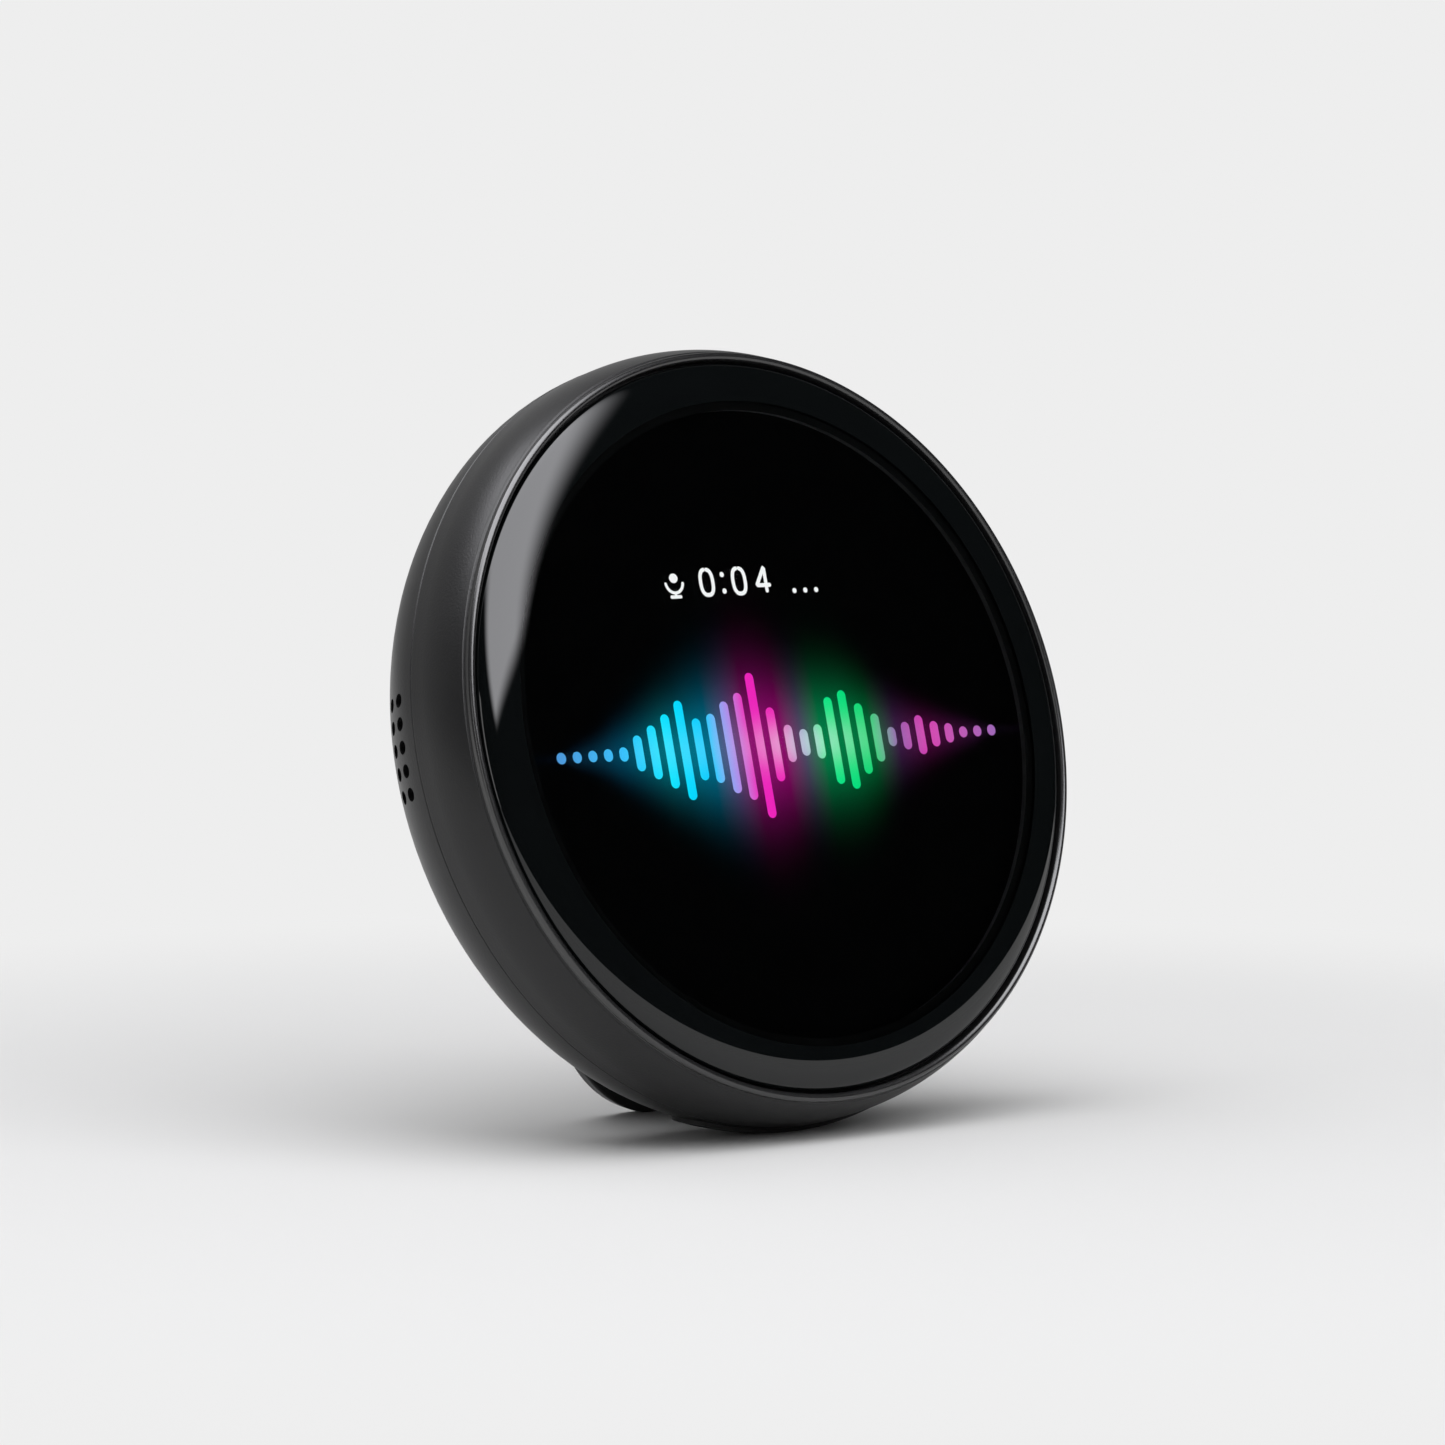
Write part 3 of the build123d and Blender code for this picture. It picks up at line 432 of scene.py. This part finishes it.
colours = level_colours(tree, x, 1.15)
pale = node(tree, "Mix", {0: whiteness, 6: colours, 7: (0.80, 0.97, 1.0, 1)}, data_type="RGBA")
link(tree, pale.outputs[2], shader.inputs["Emission Color"])
level_bars.data.materials.append(bars_light)
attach(level_bars, "body")

# the timer row: a microphone sign, minutes and seconds, and three dots
ROW_Y = 23.4
SIGN = 4.8
STROKE = 0.66


def loop_path(x, width, height, first=90.0, sweep=360.0, power=2.6):
    """A rounded loop: (w/2 sgn(c)|c|^(2/p), h/2 sgn(s)|s|^(2/p)) about its middle."""
    t = np.radians(first + np.linspace(0, sweep, 49))
    c, s = np.cos(t), np.sin(t)
    bend = 2 / power
    return np.stack(
        [
            x + width / 2 * np.sign(c) * np.abs(c) ** bend,
            ROW_Y + height / 2 * np.sign(s) * np.abs(s) ** bend,
        ],
        -1,
    )


def straight(*corners):
    """A path of straight runs, with twelve points on each."""
    corners = np.array(corners, float)
    runs = [np.linspace(a, b, 12) for a, b in zip(corners, corners[1:])]
    return np.concatenate([runs[0]] + [run[1:] for run in runs[1:]])


low, high = ROW_Y - SIGN / 2, ROW_Y + SIGN / 2
cup = np.radians(np.linspace(180, 360, 33))
row_paths = [
    straight((-16.6, ROW_Y + 0.1), (-16.6, high - 0.75)),
    np.stack([-16.6 + 1.75 * np.cos(cup), ROW_Y + 0.25 + 1.75 * np.sin(cup)], -1),
    straight((-16.6, ROW_Y - 1.5), (-16.6, low + 0.2)),
    straight((-17.8, low + 0.25), (-15.4, low + 0.25)),
    loop_path(-9.9, 2.5, SIGN - STROKE),
    straight((-6.55, ROW_Y + 0.72), (-6.55, ROW_Y + 1.58)),
    straight((-6.55, ROW_Y - 1.98), (-6.55, ROW_Y - 1.12)),
    loop_path(-3.2, 2.5, SIGN - STROKE),
    straight((2.3, low + 0.3), (2.3, high - 0.3), (0.35, low + 1.55), (3.3, low + 1.55)),
    *[straight((x - 0.43, low + 0.42), (x + 0.43, low + 0.42)) for x in (8.0, 10.3, 12.6)],
]
row_widths = [1.75, 0.5, 0.5, 0.55, STROKE, 0.85, 0.85, STROKE, STROKE, 0.85, 0.85, 0.85]
timer_row = strips("timer_row", row_paths, row_widths)
row_light, tree, shader = painted("lit_timer_row", UNLIT, 0.4, Emission_Strength=1.05)
place = node(tree, "TexCoord").outputs["Object"]
flicker = node(tree, "TexNoise", {"Vector": place, "Scale": 400.0})
tone = node(tree, "MapRange", {0: flicker.outputs[0], 3: 0.97, 4: 1.0}).outputs[0]
white = node(tree, "VectorMath", {0: (1.0, 1.0, 1.0), "Scale": tone}, operation="SCALE")
link(tree, white.outputs[0], shader.inputs["Emission Color"])
timer_row.data.materials.append(row_light)
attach(timer_row, "body")

# the panel's own face: black, with a soft glow of colour round the bars
PANEL_BLACK = (0.0015, 0.0015, 0.0018)
panel_light, tree, shader = painted(
    "display_panel_face", PANEL_BLACK, 0.35, Specular_IOR_Level=0.1, Emission_Strength=1.0
)
x, y = screen_place(tree)
position = node(tree, "MapRange", {0: x, 1: -ROW_HALF, 2: ROW_HALF}).outputs[0]
reach_stops = [
    (0.0, 0.0),
    (0.05, 0.06),
    (0.14, 0.22),
    (0.28, 0.62),
    (0.36, 0.70),
    (0.45, 0.92),
    (0.54, 0.66),
    (0.65, 0.74),
    (0.74, 0.42),
    (0.82, 0.28),
    (0.94, 0.08),
    (1.0, 0.0),
]
reach = ramp(tree, position, [(p, (v, v, v)) for p, v in reach_stops])
width = math_node(tree, "ADD", math_node(tree, "MULTIPLY", reach, 11.0), 0.5)
fall = bell(tree, math_node(tree, "SUBTRACT", y, LEVEL_Y), width)
power = math_node(tree, "MULTIPLY", fall, math_node(tree, "MULTIPLY", reach, 0.42))
glow = node(tree, "VectorMath", {0: level_colours(tree, x), "Scale": power}, operation="SCALE")
link(tree, glow.outputs[0], shader.inputs["Emission Color"])
dress(panel_light, "display_panel")


def metal(name, colour, roughness, streak=(600.0, 40.0, 600.0), **more):
    """Rolled or turned metal: fine streaks stretched one way set its roughness and relief."""
    finish, tree, shader = painted(name, colour, roughness, Metallic=1.0, **more)
    place = node(tree, "TexCoord").outputs["Object"]
    mapping = node(tree, "Mapping", {"Vector": place, "Scale": streak})
    lines = node(tree, "TexNoise", {"Vector": mapping.outputs[0], "Scale": 6.0, "Detail": 4.0})
    streaks = lines.outputs[0]
    rough = node(tree, "MapRange", {0: streaks, 3: roughness * 0.75, 4: roughness * 1.3})
    link(tree, rough.outputs[0], shader.inputs["Roughness"])
    bump = node(tree, "Bump", {"Strength": 0.35, "Distance": 0.00001, "Height": streaks})
    link(tree, bump.outputs[0], shader.inputs["Normal"])
    return finish


tray_steel = metal("satin_tray_sheet", (0.62, 0.63, 0.65), 0.36)
soft_foam = moulded("open_cell_foam", (0.05, 0.05, 0.052), 0.95, 0.4, 0.12)
amber_film = moulded("amber_film", (0.55, 0.27, 0.06), 0.28, 1.5, 0.004, Coat_Weight=0.3)
dress(tray_steel, "backlight_tray")
dress(soft_foam, "display_gasket", "display_cushion")
dress(amber_film, "display_ribbon")

# --- middle frame -----------------------------------------------------------------------------
# A plate of glass-filled nylon closes the front ring from behind. Six steel screws hold it to
# the ledge, and its posts take the shell's and the circuit board's screws.

frame_nylon = moulded("filled_nylon", (0.055, 0.055, 0.06), 0.55, 0.5, 0.02)
zinc_screws = metal("black_oxide_steel", (0.10, 0.10, 0.105), 0.38, (300.0, 300.0, 300.0))
dress(frame_nylon, "middle_frame")
dress(zinc_screws, "middle_frame_screws")

# --- main board -------------------------------------------------------------------------------
# A four-layer circuit board in green solder mask stands on four posts. Tinned cans cover the
# processor and the radio, and a silicone pad carries the heat to the frame.


def circuit_board(name, colour):
    """Solder mask over copper: a fine net of tracks shows a little paler and proud."""
    finish, tree, shader = painted(name, colour, 0.32, Coat_Weight=0.25)
    place = node(tree, "TexCoord").outputs["Object"]
    tracks = node(tree, "TexVoronoi", {"Vector": place, "Scale": 420.0}, distance="MANHATTAN")
    edge = node(tree, "MapRange", {0: tracks.outputs["Distance"], 1: 0.32, 2: 0.42}).outputs[0]
    lighter = tuple(min(1.0, 2.2 * c + 0.01) for c in colour)
    mix = node(tree, "Mix", {0: edge, 6: (*colour, 1), 7: (*lighter, 1)}, data_type="RGBA")
    link(tree, mix.outputs[2], shader.inputs["Base Color"])
    bump = node(tree, "Bump", {"Strength": 0.5, "Distance": 0.00003, "Height": edge})
    link(tree, bump.outputs[0], shader.inputs["Normal"])
    return finish


board_green = circuit_board("green_solder_mask", (0.012, 0.085, 0.040))
can_tin = metal("tinned_sheet", (0.62, 0.61, 0.58), 0.30)
chip_epoxy = moulded("chip_epoxy", (0.022, 0.022, 0.024), 0.48, 0.15, 0.006)
dress(board_green, "main_board")
dress(zinc_screws, "board_screws")
dress(chip_epoxy, "board_chips")
dress(moulded("ivory_nylon", (0.62, 0.58, 0.48), 0.42, 0.6, 0.01), "board_sockets")
dress(can_tin, "processor_shield", "wireless_shield")
dress(moulded("blue_silicone", (0.25, 0.36, 0.50), 0.7, 0.8, 0.03), "thermal_pad")
dress(amber_film, "antenna")

# --- speakers ---------------------------------------------------------------------------------
# Two oblong speakers face the sides. Each has a steel magnet cup in a nylon frame, a pressed
# paper cone in a rubber surround, and a duct that leads to the sound holes.


def pressed_paper(name, colour):
    """Pressed pulp: long fibres at two scales mottle its shade and its surface."""
    finish, tree, shader = painted(name, colour, 0.82, Sheen_Weight=0.2)
    place = node(tree, "TexCoord").outputs["Object"]
    pulp = {"Vector": place, "Scale": 1500.0, "Detail": 6.0, "Distortion": 1.5}
    fibres = node(tree, "TexNoise", pulp)
    shade = node(tree, "MapRange", {0: fibres.outputs[0], 3: 0.7, 4: 1.4}).outputs[0]
    mottled = node(tree, "VectorMath", {0: colour, "Scale": shade}, operation="SCALE")
    link(tree, mottled.outputs[0], shader.inputs["Base Color"])
    skin = {"Strength": 0.7, "Distance": 0.00008, "Height": fibres.outputs[0]}
    bump = node(tree, "Bump", skin)
    link(tree, bump.outputs[0], shader.inputs["Normal"])
    return finish


def woven(name, colour, pitch):
    """Acoustic cloth: two crossed waves of threads, pitch millimetres apart."""
    finish, tree, shader = painted(name, colour, 0.78, Sheen_Weight=0.3)
    place = node(tree, "TexCoord").outputs["Object"]
    scale = 1000 / pitch / 6.2832
    warp = node(tree, "TexWave", {"Vector": place, "Scale": scale}, bands_direction="Y")
    weft = node(tree, "TexWave", {"Vector": place, "Scale": scale}, bands_direction="Z")
    cross = math_node(tree, "MULTIPLY", warp.outputs["Fac"], weft.outputs["Fac"])
    shade = node(tree, "MapRange", {0: cross, 3: 0.5, 4: 1.6}).outputs[0]
    threads = node(tree, "VectorMath", {0: colour, "Scale": shade}, operation="SCALE")
    link(tree, threads.outputs[0], shader.inputs["Base Color"])
    bump = node(tree, "Bump", {"Strength": 0.8, "Distance": 0.00005, "Height": cross})
    link(tree, bump.outputs[0], shader.inputs["Normal"])
    return finish


magnet_steel = metal("zinc_plated_cup", (0.58, 0.58, 0.60), 0.30)
cone_paper = pressed_paper("black_pulp", (0.045, 0.045, 0.047))
roll_rubber = moulded("surround_rubber", (0.020, 0.020, 0.021), 0.62, 0.3, 0.01)
acoustic_cloth = woven("acoustic_cloth", (0.012, 0.012, 0.013), 0.35)
lead_skin = moulded("lead_insulation", (0.20, 0.015, 0.015), 0.38, 0.9, 0.006)
for side in ("left", "right"):
    dress(frame_nylon, f"{side}_speaker_frame", f"{side}_sound_duct")
    dress(magnet_steel, f"{side}_speaker_magnet")
    dress(cone_paper, f"{side}_speaker_cone")
    dress(roll_rubber, f"{side}_speaker_surround")
    dress(acoustic_cloth, f"{side}_grille_mesh")
    dress(lead_skin, f"{side}_speaker_lead")

# --- battery and power inlet ------------------------------------------------------------------
# A laminated pouch cell sits in a cradle glued to the back. Below it a small board carries the
# nickel-plated USB-C socket, which faces straight back.

dress(metal("laminated_pouch", (0.50, 0.52, 0.55), 0.34, (90.0, 90.0, 90.0)), "battery")
dress(frame_nylon, "battery_cradle")
dress(lead_skin, "battery_lead")
dress(board_green, "power_board")
dress(zinc_screws, "power_board_screws")
dress(amber_film, "power_ribbon")
dress(metal("nickel_plate", (0.55, 0.54, 0.52), 0.24), "usb_socket")

# --- rear shell -------------------------------------------------------------------------------
# The rear of the housing is one deep moulding of the same black ABS, with drilled-looking sound
# holes at both sides, a round pocket for the stand, and four screws up its towers.

shell_plastic = moulded(
    "black_textured_shell", HOUSING_BLACK, 0.35, 0.35, 0.045, Specular_IOR_Level=0.36
)
dress(shell_plastic, "rear_shell")
dress(zinc_screws, "housing_screws")

# --- keys and microphones ---------------------------------------------------------------------
# Three satin keys stand a little proud of the upper rear edge. They press switches on a narrow
# board that also carries two microphones in rubber boots.

key_plastic = moulded("satin_black_key", (0.024, 0.024, 0.026), 0.36, 0.20, 0.006)
dress(key_plastic, "volume_down_button", "mute_button", "volume_up_button")
dress(board_green, "button_board")
dress(can_tin, "button_switches", "microphones")
dress(amber_film, "button_ribbon")
dress(roll_rubber, "microphone_boots")

# --- stand and foot ---------------------------------------------------------------------------
# A round flap of black ABS folds out of the back on a steel pin with two nylon washers. Its end
# and the foot under the rim are soft black rubber, so that the body doesn't slide.

stand_plastic = moulded(
    "black_stand_ABS", HOUSING_BLACK, 0.37, 0.30, 0.03, Specular_IOR_Level=0.4
)
foot_rubber = moulded("black_foot_rubber", (0.016, 0.016, 0.016), 0.72, 0.35, 0.03)
dress(stand_plastic, "stand_flap")
dress(foot_rubber, "stand_pad", "lower_foot")
dress(metal("ground_pin_steel", (0.56, 0.56, 0.57), 0.22), "hinge_pin")
dress(moulded("natural_nylon", (0.60, 0.60, 0.56), 0.40, 0.7, 0.008), "hinge_washers")

# --- studio -----------------------------------------------------------------------------------
# A pale paper floor runs out into a backdrop of the same shade. A large softbox hangs over
# the front, a narrow one stands at the left, and the room in front of the screen is dark.

BACKDROP = (0.855, 0.855, 0.855)
FLOOR_TURNS = 96
reaches = np.array([0.0005, 0.15, 0.4, 0.8, 1.5, 3.0, 6.0, 12.0, 40.0])
rings = len(reaches)
# place (k, j) of the floor's disc is (reach_j cos t, reach_j sin t, 0), t = 2 pi k / 96
turns = 2 * np.pi * np.arange(FLOOR_TURNS)[:, None] / FLOOR_TURNS
floor_places = np.stack(
    [reaches * np.cos(turns), reaches * np.sin(turns), 0 * reaches * turns], axis=-1
).reshape(-1, 3)
k, j = np.meshgrid(np.arange(FLOOR_TURNS), np.arange(rings - 1), indexing="ij")
k2 = (k + 1) % FLOOR_TURNS
corners = [k * rings + j, k * rings + j + 1, k2 * rings + j + 1, k2 * rings + j]
floor_faces = np.stack(corners, -1).reshape(-1, 4).tolist()
floor_faces.append((np.arange(FLOOR_TURNS) * rings).tolist())
floor_mesh = bpy.data.meshes.new("floor")
floor_mesh.from_pydata(floor_places.tolist(), [], floor_faces)
floor = bpy.data.objects.new("floor", floor_mesh)
bpy.context.scene.collection.objects.link(floor)
paper, tree, shader = painted("pale_paper", (0.80, 0.80, 0.80), 0.9, Specular_IOR_Level=0.0)
place = node(tree, "TexCoord").outputs["Object"]
from_middle = node(tree, "VectorMath", {0: place}, operation="LENGTH").outputs["Value"]
spread = {0: from_middle, 1: 0.13, 2: 0.31}
fade = node(tree, "MapRange", spread, interpolation_type="SMOOTHSTEP").outputs[0]
plain = node(tree, "Emission", {"Color": (*BACKDROP, 1), "Strength": 1.0})
blend = node(tree, "MixShader", {0: fade, 1: shader.outputs[0], 2: plain.outputs[0]})
link(tree, blend.outputs[0], tree.nodes["Material Output"].inputs["Surface"])
floor.data.materials.append(paper)


def softbox(name, stand, size, brightness, colour=(1, 1, 1), sheen=True, fill=True, edge=0.0):
    """A rectangular soft light that stands at stand = (place, aim, turn of its long side).

    Its power is pi x area x brightness, so that brightness is its own radiance. Sheen lights
    show in glossy surfaces, and fill lights reach matt ones. With an edge, its cloth glows
    less over that share of its width at both long sides, and a third of that at its ends.
    """
    place, aim, turn = stand
    lamp = bpy.data.lights.new(name, "AREA")
    lamp.shape = "RECTANGLE"
    lamp.size, lamp.size_y = size
    lamp.energy = math.pi * size[0] * size[1] * brightness
    lamp.color = colour
    if edge:
        lamp.use_nodes = True
        tree = lamp.node_tree
        across_cloth = node(tree, "NewGeometry").outputs["Parametric"]
        cloth = node(tree, "SeparateXYZ", {0: across_cloth}).outputs
        glows = []
        for part, share in ((cloth[0], edge / 3), (cloth[1], edge)):
            off_middle = math_node(tree, "ABSOLUTE", math_node(tree, "SUBTRACT", part, 0.5))
            fading = {0: off_middle, 1: 0.5 - share, 2: 0.5, 3: 1.0, 4: 0.0}
            eased = node(tree, "MapRange", fading, interpolation_type="SMOOTHSTEP")
            glows.append(eased.outputs[0])
        glow = math_node(tree, "MULTIPLY", *glows)
        link(tree, glow, tree.nodes["Emission"].inputs["Strength"])
    piece = bpy.data.objects.new(name, lamp)
    bpy.context.scene.collection.objects.link(piece)
    piece.location = place
    facing = (Vector(place) - Vector(aim)).to_track_quat("Z", "Y").to_matrix().to_4x4()
    piece.rotation_euler = (facing @ Matrix.Rotation(math.radians(turn), 4, "Z")).to_euler()
    piece.visible_glossy = sheen
    piece.visible_transmission = False
    piece.visible_diffuse = fill


OVERHEAD = ((-0.06, -0.67, 1.06), (-0.06, -0.67, 0.0), -67.7)
JUST_UNDER = ((-0.06, -0.67, 1.04), (-0.06, -0.67, 0.0), -67.7)
OVERHEAD_SIZE = (3.0, 1.24)
softbox("ceiling_softbox", OVERHEAD, OVERHEAD_SIZE, 1.92, (0.99, 0.99, 1.0), sheen=False)
GLINT_COLOUR = (0.96, 0.96, 1.0)
softbox("ceiling_glint", JUST_UNDER, OVERHEAD_SIZE, 6.2, GLINT_COLOUR, fill=False, edge=0.25)
AT_LEFT = ((-1.30, -0.75, 0.42), (0, 0, 0.06), 0)
softbox("left_softbox", AT_LEFT, (0.35, 0.7), 2.2, fill=False)

world = bpy.data.worlds.new("room")
world.use_nodes = True
bpy.context.scene.world = world
tree = world.node_tree
way = node(tree, "TexCoord").outputs["Generated"]
sides = node(tree, "SeparateXYZ", {0: way}).outputs
behind = {0: sides[1], 1: 0.15, 2: 0.80, 3: 0.003, 4: 1.0}
rear = node(tree, "MapRange", behind, interpolation_type="SMOOTHSTEP").outputs[0]
overhead = {0: sides[2], 1: 0.55, 2: 0.95, 3: 1.0, 4: 0.05}
ceiling = node(tree, "MapRange", overhead, interpolation_type="SMOOTHSTEP").outputs[0]
both = math_node(tree, "MULTIPLY", rear, ceiling)
room = math_node(tree, "MULTIPLY", both, 0.45)
rays = node(tree, "LightPath").outputs
seen = node(tree, "Background", {"Color": (*BACKDROP, 1), "Strength": 1.0})
mirrored = node(tree, "Background", {"Color": (1, 1, 1, 1), "Strength": room})
ambient = node(tree, "Background", {"Color": (1, 1, 1, 1), "Strength": 0.27})
off_camera = {0: rays["Is Diffuse Ray"], 1: mirrored.outputs[0], 2: ambient.outputs[0]}
unseen = node(tree, "MixShader", off_camera)
by_camera = {0: rays["Is Camera Ray"], 1: unseen.outputs[0], 2: seen.outputs[0]}
whole = node(tree, "MixShader", by_camera)
link(tree, whole.outputs[0], tree.nodes["World Output"].inputs["Surface"])

CAMERA_DISTANCE = 0.958
camera_data = bpy.data.cameras.new("camera")
camera_data.sensor_width = 36
camera_data.lens = 149.5
camera = bpy.data.objects.new("camera", camera_data)
bpy.context.scene.collection.objects.link(camera)
sight = Vector((0.63874, 0.76572, -0.07553)).normalized()
aside = Vector((0.76792, -0.64056, 0.0))
beneath = Vector((-0.048, -0.058, -0.997))
back = Vector(centre) - CAMERA_DISTANCE * sight
camera.location = back - 0.008856 * aside - 0.000148 * beneath
camera.rotation_euler = sight.to_track_quat("-Z", "Y").to_euler()
bpy.context.scene.camera = camera
bpy.context.scene.view_settings.view_transform = "Standard"
